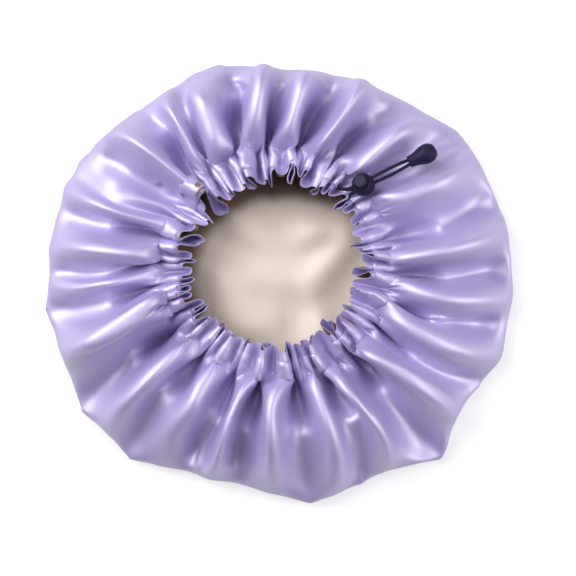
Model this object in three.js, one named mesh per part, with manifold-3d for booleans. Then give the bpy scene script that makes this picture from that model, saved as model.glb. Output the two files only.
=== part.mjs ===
// A double-layer satin shower cap that lies on its crown with its opening up. Two discs of cloth, an
// outer shell and a lining, are gathered by an elastic drawcord in a stitched casing. The cord's two
// tails leave the casing at a buttonhole, pass through a spring cord lock and end in a bell.
// Millimetres, +Z up. The origin lies on the resting plane, under the centre of the opening.
import * as THREE from 'three';
import { mergeVertices } from 'three/addons/utils/BufferGeometryUtils.js';
import Module from 'manifold-3d';

const wasm = await Module();
wasm.setup();

// Driving dimensions of the cap
const running_gap = 0.3;
const fabric_thickness = 0.5;
const cap_radius = 174;
const edge_height = 13;
const shoulder_height = 28;
const slope_height = 40;
const crest_radius = 130;
const crest_height = 47;
const pleat_radius = 106;
const pleat_height = 44.5;
const casing_radius = 73;
const casing_height = 39.5;
const seam_reach = 14;
const seam_radius = casing_radius + seam_reach;
const seam_drop = 1.5;
const seam_height = casing_height - seam_drop;
const ruffle_reach = 7.5;
const rim_radius = casing_radius - ruffle_reach;
const rim_step = 3;
const rim_height = casing_height + rim_step;
const fold_height = 10.8;
const thread_diameter = 0.5;

// Driving dimensions of the drawcord and its fittings
const cord_diameter = 2.5;
const cord_rise_degrees = 9;
const cord_plan_degrees = 25.9;
const cord_spread = 2.6;
const buttonhole_degrees = 45.4;
const buttonhole_length = 17;
const buttonhole_width = 6.4;
const buttonhole_bead = 0.9;
const cord_end_degrees = 8;
const lock_east = 65;
const lock_north = 58.5;
const lock_height = 48.2;
const lock_place = new THREE.Vector3(lock_east, lock_north, lock_height);
const lock_radius = 8.5;
const lock_half_height = 10;
const lock_base = 9.2;
const lock_top = 7;
const lock_wall = 1;
const slide_travel = 24;
const plunger_radius = 5.2;
const plunger_travel = 3.3;
const plunger_web = 1.1;
const plunger_proud = 0.6;
const plunger_dome = 1.2;
const spring_radius = 3;
const spring_wire = 0.5;
const spring_curls = 3;
const bell_reach = 37.5;
const bell_height = 54;
const bell_droop_degrees = -2;
const bell_length = 21.6;
const bell_radius = 7.4;
const bell_mouth_radius = 4.4;
const bell_bore_radius = 3.4;
const bell_throat = 8.6;
const bell_cavity_radius = 5.2;
const lid_thickness = 1;
const lid_radius = 6.5;
const lid_plug_length = 2;
const knot_length = 6.4;
const knot_radius = 4.3;
const pocket_depth = 7.8;
const pocket_radius = 44;

// The main folds, anticlockwise from +X. Each row holds a ridge and the valley after it: the angle
// at the gather and at the cap's edge in degrees, the height and the edge radius as shares.
const fold_shares = [
  [4, 9, 1.0, 1.018, 11, 17, -0.8, 1.005],
  [21, 28, 0.5, 0.998, 41, 36.5, 0.0, 0.968],
  [52, 45, 0.7, 0.935, 60, 53, -0.7, 0.906],
  [73, 64, 0.9, 0.887, 79, 71, -0.9, 0.873],
  [88, 79.5, 1.0, 0.862, 94, 85.5, -0.9, 0.858],
  [101, 92, 1.1, 0.862, 108, 105, -0.9, 0.896],
  [116, 113, 0.6, 0.902, 122, 117, -0.7, 0.896],
  [128, 123, 0.8, 0.897, 134, 132, -0.8, 0.909],
  [140, 143, 0.9, 0.937, 145, 148, -0.5, 0.957],
  [150, 152, 0.6, 0.966, 155.5, 155, -1.0, 0.972],
  [161, 160, 0.9, 0.978, 166, 166, -0.6, 0.982],
  [171, 176, 0.9, 0.988, 178, 181, -0.7, 0.993],
  [184, 186, 1.0, 1.006, 190.5, 190.5, -1.1, 1.024],
  [201, 202, 1.0, 1.02, 212, 217, -1.0, 1.05],
  [224, 224, 1.0, 1.04, 231, 233, -1.0, 1.058],
  [242, 240, 1.0, 1.012, 249, 246, -0.7, 0.99],
  [256, 253, 1.0, 0.977, 262, 260, -0.9, 0.977],
  [271, 268, 1.0, 0.99, 279, 278, -1.2, 1.055],
  [288, 284, 1.1, 1.035, 295, 291, -0.7, 1.024],
  [302, 298, 1.0, 1.028, 310, 309, -1.2, 1.09],
  [319, 319, 1.1, 1.03, 328, 329, -0.8, 1.033],
  [335, 339, 1.0, 1.05, 340, 346, -0.8, 1.048],
  [346, 352, 1.0, 1.043, 355, 360, -0.8, 1.031],
];
const ridge_width_share = 0.3;

// Where the cord runs, as points along and beside the lock's way in plan, and height.
const tail_left_route = [
  [-19.3, 9.5, 39.5],
  [-18.4, 8.0, 39.9],
  [-17.5, 6.6, 40.7],
  [-16.4, 5.3, 41.8],
  [-15.2, 4.15, 42.95],
  [-13.7, 3.2, 44.05],
  [-12.0, 2.45, 45.0],
  [-10.0, 1.95, 45.8],
  [-7.7, 1.8, 46.36],
  [0, 1.8, 47.58],
  [8, 1.95, 48.8],
  [16, 2.15, 50.0],
  [24, 2.25, 51.23],
  [31, 2.15, 52.37],
  [37.5, 1.6, 53.5],
  [42, 1.4, 53.6],
  [46.1, 1.4, 53.45],
];
const tail_right_route = [
  [-12.5, -9.7, 39.5],
  [-12.95, -7.3, 39.8],
  [-13.2, -5.4, 40.6],
  [-13.2, -4.0, 41.8],
  [-12.9, -3.05, 43.2],
  [-12.2, -2.4, 44.6],
  [-11.15, -2.0, 45.95],
  [-9.7, -1.85, 46.98],
  [-7.7, -1.8, 47.6],
  [0, -1.8, 48.82],
  [8, -2.15, 50.21],
  [16, -2.45, 51.57],
  [24, -2.45, 52.84],
  [31, -2.15, 53.85],
  [37.5, -1.6, 54.45],
  [42, -1.4, 54.5],
  [46.1, -1.4, 54.35],
];

// Fineness
const round_steps = 32;
const cord_sides = 8;
const cord_ring_steps = 72;
const tail_steps = 44;
const thread_sides = 5;
const curl_steps = 8;
const curl_sides = 5;
const profile_steps = 9;

const lavender_satin = new THREE.MeshStandardMaterial({ color: 0xb3a5e0, roughness: 0.35 });
const champagne_satin = new THREE.MeshStandardMaterial({ color: 0xd8c8bc, roughness: 0.4 });
const lavender_thread = new THREE.MeshStandardMaterial({ color: 0xa596d6, roughness: 0.6 });
const black_elastic = new THREE.MeshStandardMaterial({ color: 0x2b2638, roughness: 0.8 });
const black_plastic = new THREE.MeshStandardMaterial({ color: 0x2a2636, roughness: 0.45 });
const spring_steel = new THREE.MeshStandardMaterial({ color: 0xb8bcc2, roughness: 0.3, metalness: 1 });

const radians = THREE.MathUtils.degToRad;
const lerp = THREE.MathUtils.lerp;
const clamp = THREE.MathUtils.clamp;
const model = new THREE.Group();

function addPart(parent, name, geometry, material) {
  const mesh = new THREE.Mesh(geometry, material);
  mesh.name = name;
  parent.add(mesh);
}

// Booleans on closed meshes
function toSolid(geometry) {
  const bare = geometry.clone();
  bare.deleteAttribute('normal');
  bare.deleteAttribute('uv');
  const merged = mergeVertices(bare);
  return new wasm.Manifold(new wasm.Mesh({
    numProp: 3,
    vertProperties: new Float32Array(merged.attributes.position.array),
    triVerts: new Uint32Array(merged.index.array),
  }));
}

function toGeometry(solid) {
  const mesh = solid.getMesh();
  const geometry = new THREE.BufferGeometry();
  geometry.setAttribute('position', new THREE.BufferAttribute(new Float32Array(mesh.vertProperties), 3));
  geometry.setIndex(new THREE.BufferAttribute(new Uint32Array(mesh.triVerts), 1));
  return geometry;
}

// A closed profile turned round +Z, from [radius, height] points that run up the outside
function turned(profile) {
  const geometry = new THREE.LatheGeometry(profile.map(([r, h]) => new THREE.Vector2(r, h)), round_steps);
  return geometry.rotateX(Math.PI / 2);
}

// A slot with rounded corners, as wide and high as said, extruded along +X
function slotSolid(half_width, low, high, corner, half_reach) {
  const outline = new THREE.Shape();
  const inset = half_width - corner;
  outline.absarc(inset, low + corner, corner, -Math.PI / 2, 0, false);
  outline.absarc(inset, high - corner, corner, 0, Math.PI / 2, false);
  outline.absarc(-inset, high - corner, corner, Math.PI / 2, Math.PI, false);
  outline.absarc(-inset, low + corner, corner, Math.PI, 3 * Math.PI / 2, false);
  const geometry = new THREE.ExtrudeGeometry(outline, {
    depth: 2 * half_reach, bevelEnabled: false, curveSegments: cord_sides,
  });
  geometry.translate(0, 0, -half_reach);
  const turn = new THREE.Matrix4().makeBasis(
    new THREE.Vector3(0, 1, 0), new THREE.Vector3(0, 0, 1), new THREE.Vector3(1, 0, 0));
  return toSolid(geometry.applyMatrix4(turn));
}

// A cord along a smooth curve
function cordAlong(curve, steps) {
  const section = new THREE.Shape();
  section.absarc(0, 0, cord_diameter / 2, 0, 2 * Math.PI, false);
  return new THREE.ExtrudeGeometry(section, {
    steps, extrudePath: curve, bevelEnabled: false, curveSegments: cord_sides / 2,
  });
}

// The folded cloth: columns follow the folds from the edge to the gather, two on each ridge and one
// in each valley.
const columns = [];
fold_shares.forEach((row, i) => {
  const last = fold_shares.length - 1;
  const before = i === 0 ? fold_shares[last] : fold_shares[i - 1];
  const wrap = i === 0 ? 360 : 0;
  const ridge = { gather: row[0], edge: row[1], height: row[2], radius: row[3] };
  const valley_before = { gather: before[4] - wrap, edge: before[5] - wrap, height: before[6], radius: before[7] };
  const valley_after = { gather: row[4], edge: row[5], height: row[6], radius: row[7] };
  [valley_before, valley_after].forEach((valley) => {
    columns.push({
      gather: lerp(ridge.gather, valley.gather, ridge_width_share),
      edge: lerp(ridge.edge, valley.edge, ridge_width_share),
      height: ridge.height,
      radius: lerp(ridge.radius, valley.radius, ridge_width_share),
    });
  });
  columns.push(valley_after);
});

// Rings of the cloth from the crown's edge over the widest line to the rim of the opening. inward is
// the share of the way from the edge to the crest, push and lift are shares of the fold's height.
const thin = running_gap / 2;
const casing_room = cord_diameter / 2 + 2 * running_gap;
const crown_height = thin + fabric_thickness;
const rings = [
  { inward: 0.24, height: crown_height, push: 0, lift: 0, pocket: 0, room: thin },
  { inward: 0, height: edge_height, push: 0, lift: 0, pocket: 0, room: thin },
  { inward: 0.12, height: shoulder_height, push: 0.3, lift: 0.25, pocket: 0, room: thin },
  { inward: 0.45, height: slope_height, push: 0.15, lift: 0.75, pocket: 0, room: thin },
  { inward: 1, height: crest_height, push: 0, lift: 1, pocket: 0.5, room: thin },
  { radius: pleat_radius, height: pleat_height, push: 0, lift: 0.95, pocket: 1, room: thin },
  { radius: seam_radius, height: seam_height, push: 0, lift: 0.3, pocket: 0.5, room: thin },
  { radius: casing_radius, height: casing_height, push: 0, lift: 0, pocket: 0, room: casing_room },
  { radius: rim_radius, height: rim_height, push: 0.12, lift: 0.25, pocket: 1, room: thin },
];
const seam_ring = 6;
const rim_ring = 8;

const along_cord = new THREE.Vector3(
  Math.cos(radians(cord_plan_degrees)), Math.sin(radians(cord_plan_degrees)), 0);
const beside_cord = new THREE.Vector3(-along_cord.y, along_cord.x, 0);

// How deep the cloth is pressed under the lock's way
function pocketAt(x, y) {
  const from_lock = new THREE.Vector3(x - lock_place.x, y - lock_place.y, 0);
  const along = clamp(from_lock.dot(along_cord), 0, slide_travel);
  const away = from_lock.addScaledVector(along_cord, -along).length();
  return pocket_depth * Math.max(0, 1 - away / pocket_radius);
}

function clothPoint(ring, column) {
  const edge = cap_radius * column.radius;
  const flat_radius = ring.radius ?? lerp(edge, crest_radius, ring.inward);
  const drift = clamp((edge - flat_radius) / (edge - seam_radius), 0, 1);
  const angle = radians(lerp(column.edge, column.gather, drift));
  const radius = flat_radius + ring.push * fold_height * column.height;
  const x = radius * Math.cos(angle);
  const y = radius * Math.sin(angle);
  const z = ring.height + ring.lift * fold_height * column.height - ring.pocket * pocketAt(x, y);
  return new THREE.Vector3(x, y, z);
}

const middle_points = rings.map((ring) => columns.map((column) => clothPoint(ring, column)));

// The way out of the cap at a grid point, across the cloth
function clothNormal(j, c) {
  if (j === 0) return new THREE.Vector3(0, 0, -1);
  const count = columns.length;
  const round = middle_points[j][(c + 1) % count].clone().sub(middle_points[j][(c + count - 1) % count]);
  const next = middle_points[Math.min(j + 1, rings.length - 1)][c];
  const over = next.clone().sub(middle_points[j - 1][c]);
  return round.cross(over).normalize();
}

const normals = rings.map((ring, j) => columns.map((column, c) => clothNormal(j, c)));

// One layer of cloth between two offsets from the middle surface: side +1 outside it, -1 inside it
function clothLayer(side) {
  const count = columns.length;
  const positions = [];
  const faces = [];
  const sheets = side > 0 ? [fabric_thickness, 0] : [0, fabric_thickness];
  sheets.forEach((skin) => {
    positions.push(0, 0, crown_height - side * (thin + skin));
    rings.forEach((ring, j) => columns.forEach((column, c) => {
      const p = middle_points[j][c].clone().addScaledVector(normals[j][c], side * (ring.room + skin));
      positions.push(p.x, p.y, p.z);
    }));
  });
  const sheet_size = 1 + rings.length * count;
  const at = (sheet, j, c) => sheet * sheet_size + 1 + j * count + (c % count);
  const triangle = (sheet, a, b, c) => faces.push(...(sheet === 0 ? [a, b, c] : [a, c, b]));
  for (let sheet = 0; sheet < 2; sheet += 1) {
    for (let c = 0; c < count; c += 1) {
      triangle(sheet, sheet * sheet_size, at(sheet, 0, c + 1), at(sheet, 0, c));
      for (let j = 0; j < rings.length - 1; j += 1) {
        triangle(sheet, at(sheet, j, c), at(sheet, j, c + 1), at(sheet, j + 1, c));
        triangle(sheet, at(sheet, j, c + 1), at(sheet, j + 1, c + 1), at(sheet, j + 1, c));
      }
    }
  }
  for (let c = 0; c < count; c += 1) {
    faces.push(at(0, rim_ring, c), at(0, rim_ring, c + 1), at(1, rim_ring, c));
    faces.push(at(0, rim_ring, c + 1), at(1, rim_ring, c + 1), at(1, rim_ring, c));
  }
  const geometry = new THREE.BufferGeometry();
  geometry.setAttribute('position', new THREE.Float32BufferAttribute(positions, 3));
  geometry.setIndex(faces);
  return geometry;
}

// A thin closed ring of thread that follows a ring of points
function threadRing(points) {
  const count = points.length;
  const positions = [];
  const faces = [];
  points.forEach((p) => {
    const out = new THREE.Vector3(p.x, p.y, 0).normalize();
    for (let s = 0; s < thread_sides; s += 1) {
      const turn = 2 * Math.PI * s / thread_sides;
      const q = p.clone().addScaledVector(out, Math.cos(turn) * thread_diameter / 2);
      positions.push(q.x, q.y, q.z + Math.sin(turn) * thread_diameter / 2);
    }
  });
  for (let c = 0; c < count; c += 1) {
    for (let s = 0; s < thread_sides; s += 1) {
      const a = c * thread_sides + s;
      const b = c * thread_sides + (s + 1) % thread_sides;
      const d = ((c + 1) % count) * thread_sides + s;
      const e = ((c + 1) % count) * thread_sides + (s + 1) % thread_sides;
      faces.push(a, d, b, b, d, e);
    }
  }
  const geometry = new THREE.BufferGeometry();
  geometry.setAttribute('position', new THREE.Float32BufferAttribute(positions, 3));
  geometry.setIndex(faces);
  return geometry;
}

// Buttonhole: a stadium through the outer layer only, over the cord's ring
const buttonhole_angle = radians(buttonhole_degrees);
const buttonhole_out = new THREE.Vector3(Math.cos(buttonhole_angle), Math.sin(buttonhole_angle), 0);
const shell_top = casing_height + casing_room + fabric_thickness;

function buttonholePlate(grow, low, high) {
  const straight = (buttonhole_length - buttonhole_width) / 2;
  const end_radius = buttonhole_width / 2 + grow;
  const outline = new THREE.Shape();
  outline.absarc(0, straight, end_radius, 0, Math.PI, false);
  outline.absarc(0, -straight, end_radius, Math.PI, 2 * Math.PI, false);
  const geometry = new THREE.ExtrudeGeometry(outline, {
    depth: high - low, bevelEnabled: false, curveSegments: cord_sides,
  });
  geometry.translate(casing_radius, 0, low);
  return toSolid(geometry.rotateZ(buttonhole_angle));
}

const hole_low = casing_height + cord_diameter / 2;
const hole_high = shell_top + cord_diameter;
const shell_solid = toSolid(clothLayer(1)).subtract(buttonholePlate(0, hole_low, hole_high));
addPart(model, 'outer_shell', toGeometry(shell_solid), lavender_satin);
addPart(model, 'lining', clothLayer(-1), champagne_satin);

const bead_low = shell_top + running_gap;
const bead = buttonholePlate(buttonhole_bead, bead_low, bead_low + thread_diameter)
  .subtract(buttonholePlate(0, bead_low - running_gap, bead_low + cord_diameter));
addPart(model, 'buttonhole_stitching', toGeometry(bead), lavender_thread);

const stitch_lift = thin + fabric_thickness + running_gap + thread_diameter / 2;
const stitch_points = middle_points[seam_ring].map(
  (p, c) => p.clone().addScaledVector(normals[seam_ring][c], stitch_lift));
addPart(model, 'casing_stitching', threadRing(stitch_points), lavender_thread);

const rim_points = middle_points[rim_ring].map((p) => {
  const out = new THREE.Vector3(p.x, p.y, 0).normalize();
  return p.clone().addScaledVector(out, -(2 * running_gap + thread_diameter / 2));
});
addPart(model, 'rim_seam_thread', threadRing(rim_points), lavender_thread);

// Drawcord: the ring in the casing, open at the buttonhole, and the two tails
class RingArc extends THREE.Curve {
  getPoint(t, target = new THREE.Vector3()) {
    const gap = radians(cord_end_degrees) + running_gap / casing_radius;
    const angle = buttonhole_angle + gap + t * (2 * Math.PI - 2 * gap);
    return target.set(casing_radius * Math.cos(angle), casing_radius * Math.sin(angle), casing_height);
  }
}
addPart(model, 'drawcord_casing', cordAlong(new RingArc(), cord_ring_steps), black_elastic);

function tailCurve(route) {
  return new THREE.CatmullRomCurve3(route.map(([along, beside, height]) => new THREE.Vector3(
    lock_place.x + along * along_cord.x + beside * beside_cord.x,
    lock_place.y + along * along_cord.y + beside * beside_cord.y,
    height)), false, 'centripetal');
}
addPart(model, 'drawcord_tail_left', cordAlong(tailCurve(tail_left_route), tail_steps), black_elastic);
addPart(model, 'drawcord_tail_right', cordAlong(tailCurve(tail_right_route), tail_steps), black_elastic);

// Cord lock: its own group, with +X along the cords and +Z out of the button
const cord_way = along_cord.clone().multiplyScalar(Math.cos(radians(cord_rise_degrees)));
cord_way.z = Math.sin(radians(cord_rise_degrees));
const button_lean = new THREE.Vector3(-0.33, 0.2, 0.92);
const button_way = button_lean.addScaledVector(cord_way, -button_lean.dot(cord_way)).normalize();
const lock_side = button_way.clone().cross(cord_way);
const lock = new THREE.Group();
lock.position.copy(lock_place);
lock.quaternion.setFromRotationMatrix(new THREE.Matrix4().makeBasis(cord_way, lock_side, button_way));
model.add(lock);

const slot_half_width = cord_spread + cord_diameter / 2 + running_gap;
const slot_half_height = cord_diameter / 2 + running_gap;
const bore_radius = plunger_radius + running_gap;
const plunger_low = -slot_half_height - plunger_web;
const plunger_high = lock_top + plunger_travel + plunger_proud;
const bore_low = plunger_low - plunger_travel - running_gap;
const spring_pocket_radius = spring_radius + spring_wire / 2 + running_gap;
const spring_low = -lock_base + lock_wall;

function barrelRadius(height) {
  return lock_radius * Math.sqrt(1 - (height / lock_half_height) ** 2);
}
const barrel_profile = [[0, -lock_base]];
for (let i = 0; i <= profile_steps; i += 1) {
  const height = lerp(-lock_base, lock_top, i / profile_steps);
  barrel_profile.push([barrelRadius(height), height]);
}
barrel_profile.push([bore_radius, lock_top]);
barrel_profile.push([bore_radius, bore_low]);
barrel_profile.push([spring_pocket_radius, bore_low]);
barrel_profile.push([spring_pocket_radius, spring_low]);
barrel_profile.push([0, spring_low]);
const barrel = toSolid(turned(barrel_profile))
  .subtract(slotSolid(slot_half_width, -slot_half_height, slot_half_height, slot_half_height, 2 * lock_radius));
addPart(lock, 'lock_barrel', toGeometry(barrel), black_plastic);

const plunger_profile = [
  [0, plunger_low],
  [plunger_radius, plunger_low],
  [plunger_radius, plunger_high - plunger_dome],
  [plunger_radius - plunger_dome / 2, plunger_high - plunger_dome / 3],
  [plunger_radius - plunger_dome * 2, plunger_high],
  [0, plunger_high],
];
const plunger = toSolid(turned(plunger_profile))
  .subtract(slotSolid(
    slot_half_width, -slot_half_height, slot_half_height + plunger_travel, slot_half_height, 2 * lock_radius));
addPart(lock, 'lock_plunger', toGeometry(plunger), black_plastic);

// Spring: one unbroken helix of wire between the pocket's floor and the plunger
class SpringCurve extends THREE.Curve {
  getPoint(t, target = new THREE.Vector3()) {
    const angle = 2 * Math.PI * spring_curls * t;
    const low = spring_low + running_gap + spring_wire / 2;
    const high = plunger_low - running_gap - spring_wire / 2;
    return target.set(spring_radius * Math.cos(angle), spring_radius * Math.sin(angle), lerp(low, high, t));
  }
}

function springGeometry() {
  const curve = new SpringCurve();
  const steps = spring_curls * curl_steps;
  const positions = [];
  const faces = [];
  for (let i = 0; i <= steps; i += 1) {
    const p = curve.getPoint(i / steps);
    const out = new THREE.Vector3(p.x, p.y, 0).normalize();
    for (let s = 0; s < curl_sides; s += 1) {
      const turn = 2 * Math.PI * s / curl_sides;
      const q = p.clone().addScaledVector(out, Math.cos(turn) * spring_wire / 2);
      positions.push(q.x, q.y, q.z + Math.sin(turn) * spring_wire / 2);
    }
  }
  for (let i = 0; i < steps; i += 1) {
    for (let s = 0; s < curl_sides; s += 1) {
      const a = i * curl_sides + s;
      const b = i * curl_sides + (s + 1) % curl_sides;
      faces.push(a, a + curl_sides, b, b, a + curl_sides, b + curl_sides);
    }
  }
  for (let s = 1; s < curl_sides - 1; s += 1) {
    const end = steps * curl_sides;
    faces.push(0, s, s + 1, end, end + s + 1, end + s);
  }
  const geometry = new THREE.BufferGeometry();
  geometry.setAttribute('position', new THREE.Float32BufferAttribute(positions, 3));
  geometry.setIndex(faces);
  return geometry;
}
addPart(lock, 'lock_spring', springGeometry(), spring_steel);

// Cord end: its own group, with +Z from the mouth to the far end
const bell = new THREE.Group();
bell.position.copy(lock_place).addScaledVector(along_cord, bell_reach).setZ(bell_height);
const bell_way = along_cord.clone().multiplyScalar(Math.cos(radians(bell_droop_degrees)));
bell_way.z = Math.sin(radians(bell_droop_degrees));
const bell_up = beside_cord.clone().cross(bell_way).negate();
bell.quaternion.setFromRotationMatrix(new THREE.Matrix4().makeBasis(beside_cord, bell_up, bell_way));
model.add(bell);

// Outside of the bell: a slim mouth that swells to the bulb and rounds in to the lid
const bell_body_length = bell_length - lid_thickness - running_gap;
const bell_outline_shares = [
  [0, 0], [0.1, 0.06], [0.25, 0.3], [0.42, 0.68], [0.56, 0.93], [0.68, 1], [0.82, 0.95], [0.93, 0.78], [1, 0.6],
];
const bell_profile = bell_outline_shares.map(([reach, swell]) => [
  lerp(bell_mouth_radius, bell_radius, swell), reach * bell_body_length]);
const bell_inside = [
  [bell_cavity_radius, bell_body_length],
  [bell_cavity_radius, bell_throat],
  [bell_bore_radius, bell_throat],
  [bell_bore_radius, 0],
];
const bell_closed = [...bell_profile, ...bell_inside, [bell_mouth_radius, 0]];
addPart(bell, 'cord_end_bell', turned(bell_closed), black_plastic);

const lid_seat = bell_body_length + running_gap;
const plug_radius = bell_cavity_radius - running_gap;
const lid_profile = [
  [0, bell_body_length - lid_plug_length],
  [plug_radius, bell_body_length - lid_plug_length],
  [plug_radius, lid_seat],
  [lid_radius - lid_thickness / 2, lid_seat],
  [lid_radius - lid_thickness / 2, lid_seat + lid_thickness / 3],
  [lid_radius - lid_thickness, bell_length - lid_thickness / 4],
  [lid_radius / 2, bell_length],
  [0, bell_length],
];
addPart(bell, 'cord_end_lid', turned(lid_profile), black_plastic);

const knot_low = bell_throat + running_gap;
const knot_outline_shares = [
  [0, 0], [0.7, 0], [0.93, 0.16], [1, 0.36], [0.9, 0.56], [0.98, 0.74], [0.74, 0.93], [0.3, 1], [0, 1],
];
const knot_profile = knot_outline_shares.map(([r, h]) => [r * knot_radius, knot_low + h * knot_length]);
addPart(bell, 'cord_knot', turned(knot_profile), black_elastic);

export default model;
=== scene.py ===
"""A double-layer satin shower cap that lies on its crown, opening up, seen from straight above.
Lavender satin outside, champagne satin inside, an elastic drawcord with a cord lock and a cord end.
Metres, +Z up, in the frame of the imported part."""
import math

import bpy
import numpy as np
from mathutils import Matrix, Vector


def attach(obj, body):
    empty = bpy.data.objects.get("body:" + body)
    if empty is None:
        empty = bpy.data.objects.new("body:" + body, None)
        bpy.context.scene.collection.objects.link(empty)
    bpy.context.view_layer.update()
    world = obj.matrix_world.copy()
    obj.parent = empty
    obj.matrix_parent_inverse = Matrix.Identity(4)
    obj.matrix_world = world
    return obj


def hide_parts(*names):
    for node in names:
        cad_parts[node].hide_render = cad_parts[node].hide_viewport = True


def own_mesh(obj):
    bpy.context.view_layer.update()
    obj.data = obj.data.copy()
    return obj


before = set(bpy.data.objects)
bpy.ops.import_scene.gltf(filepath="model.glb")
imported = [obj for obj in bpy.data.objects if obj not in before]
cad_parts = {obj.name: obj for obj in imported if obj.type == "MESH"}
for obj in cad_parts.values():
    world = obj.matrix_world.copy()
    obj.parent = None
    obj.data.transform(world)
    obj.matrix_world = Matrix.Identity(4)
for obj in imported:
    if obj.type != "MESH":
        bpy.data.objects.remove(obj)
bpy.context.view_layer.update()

# CAMERA
# The photograph is taken from straight above. Its 576 pixels take in 438 mm at the height of the
# cap's widest line, and its middle lies a little to the right of the opening's centre, and below it.
VIEW_CENTRE = (0.0091, -0.0182)
VIEW_WIDTH = 0.4378
VIEW_LEVEL = 0.013
CAMERA_HEIGHT = 1.5
lens = bpy.data.cameras.new("camera")
lens.sensor_width = 36
lens.lens = lens.sensor_width * (CAMERA_HEIGHT - VIEW_LEVEL) / VIEW_WIDTH
camera = bpy.data.objects.new("camera", lens)
camera.location = (*VIEW_CENTRE, CAMERA_HEIGHT)
bpy.context.collection.objects.link(camera)
bpy.context.scene.camera = camera


# DRAWCORD
# A limp elastic cord, 2.5 mm, of rubber strands in a braided polyester sheath. Its two tails leave
# the casing at a buttonhole, run through the cord lock and are knotted inside the cord end.
class Socket:
    """A value in a material: arithmetic on it adds Math nodes."""

    def __init__(self, finish, value):
        self.finish = finish
        self.value = value

    def _math(self, operation, *values):
        return self.finish.node("ShaderNodeMath", {"operation": operation}, values)

    def __add__(self, other):
        return self._math("ADD", self, other)

    def __sub__(self, other):
        return self._math("SUBTRACT", self, other)

    def __rsub__(self, other):
        return self._math("SUBTRACT", other, self)

    def __mul__(self, other):
        return self._math("MULTIPLY", self, other)

    def __pow__(self, other):
        return self._math("POWER", self, other)

    def sine(self):
        return self._math("SINE", self)

    __radd__ = __add__
    __rmul__ = __mul__


class Finish:
    """One material: node() adds any node, paint() connects the shader's sockets."""

    def __init__(self, name, **constants):
        self.material = bpy.data.materials.new(name)
        self.material.use_nodes = True
        self.tree = self.material.node_tree
        self.shader = self.tree.nodes["Principled BSDF"]
        self.paint(**constants)

    def put(self, socket, value):
        if isinstance(value, Socket):
            self.tree.links.new(value.value, socket)
        else:
            socket.default_value = value

    def node(self, kind, settings=None, values=(), output=0):
        made = self.tree.nodes.new(kind)
        for name, value in (settings or {}).items():
            setattr(made, name, value)
        pairs = values.items() if isinstance(values, dict) else enumerate(values)
        for key, value in pairs:
            self.put(made.inputs[key], value)
        return Socket(self, made.outputs[output])

    def paint(self, **sockets):
        for name, value in sockets.items():
            self.put(self.shader.inputs[name.replace("_", " ")], value)

    def place(self, kind="Object"):
        return self.node("ShaderNodeTexCoord", output=kind)

    def parts(self, vector):
        split = self.node("ShaderNodeSeparateXYZ", values=[vector])
        return [Socket(self, split.value.node.outputs[k]) for k in range(3)]

    def noise(self, vector, scale, detail=2.0, roughness=0.5):
        return self.node("ShaderNodeTexNoise", values={
            "Vector": vector, "Scale": scale, "Detail": detail, "Roughness": roughness})

    def mix(self, factor, a, b):
        return self.node("ShaderNodeMix", {"data_type": "RGBA"}, {0: factor, 6: a, 7: b}, output=2)

    def bump(self, height, distance):
        self.paint(Normal=self.node("ShaderNodeBump", values={
            "Strength": 1.0, "Distance": distance, "Height": height}))


def as_object(name, mesh, finish):
    """The mesh as an object in the scene, with its material."""
    mesh.materials.append(finish.material)
    made = bpy.data.objects.new(name, mesh)
    bpy.context.collection.objects.link(made)
    return made


def stands_for(piece, node, body):
    """The piece takes the place of a CAD node and moves with a body."""
    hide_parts(node)
    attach(piece, body)


def sheet_mesh(name, points, finish, closed=False, caps=(), uv=None):
    """A piece from points[row, column, xyz]: faces join neighbouring rows and columns, the columns
    close into a ring, the rows too if closed, and caps lists the rows (0 or -1) that a centre point
    closes."""
    rows, columns = points.shape[:2]
    vertices = [points.reshape(-1, 3)]
    r, c = np.meshgrid(np.arange(rows if closed else rows - 1), np.arange(columns), indexing="ij")
    r2, c2 = (r + 1) % rows, (c + 1) % columns
    quads = np.stack([r * columns + c, r * columns + c2, r2 * columns + c2, r2 * columns + c], -1)
    loops, counts = [quads.ravel()], [np.full(quads.size // 4, 4)]
    for row in caps:
        centre = sum(len(v) for v in vertices)
        vertices.append(points[row].mean(0)[None])
        ring = (row % rows) * columns + np.arange(columns)
        fan = np.stack([np.full(columns, centre), np.roll(ring, -1), ring], -1)
        loops.append((fan if row == 0 else fan[:, ::-1]).ravel())
        counts.append(np.full(columns, 3))
    vertices, loops, counts = np.concatenate(vertices), np.concatenate(loops), np.concatenate(counts)
    mesh = bpy.data.meshes.new(name)
    mesh.vertices.add(len(vertices))
    mesh.vertices.foreach_set("co", vertices.astype(np.float32).ravel())
    mesh.loops.add(len(loops))
    mesh.loops.foreach_set("vertex_index", loops.astype(np.int32))
    mesh.polygons.add(len(counts))
    mesh.polygons.foreach_set("loop_start", np.r_[0, np.cumsum(counts)[:-1]].astype(np.int32))
    mesh.polygons.foreach_set("loop_total", counts.astype(np.int32))
    mesh.polygons.foreach_set("use_smooth", np.ones(len(counts), bool))
    mesh.update(calc_edges=True)
    if uv is not None:
        extra = [np.zeros((1, 2))] * len(caps)
        flat = np.concatenate([uv.reshape(-1, 2), *extra])[loops]
        mesh.uv_layers.new(name="UVMap").data.foreach_set("uv", flat.astype(np.float32).ravel())
    mesh.validate()
    return as_object(name, mesh, finish)


def unit(vectors):
    """Each vector divided by its length, along the last axis."""
    return vectors / np.maximum(np.linalg.norm(vectors, axis=-1, keepdims=True), 1e-12)


def circle(sides):
    """Cosines and sines of even steps round a circle, as columns."""
    a = 2 * np.pi * np.arange(sides) / sides
    return np.cos(a)[:, None], np.sin(a)[:, None]


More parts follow.
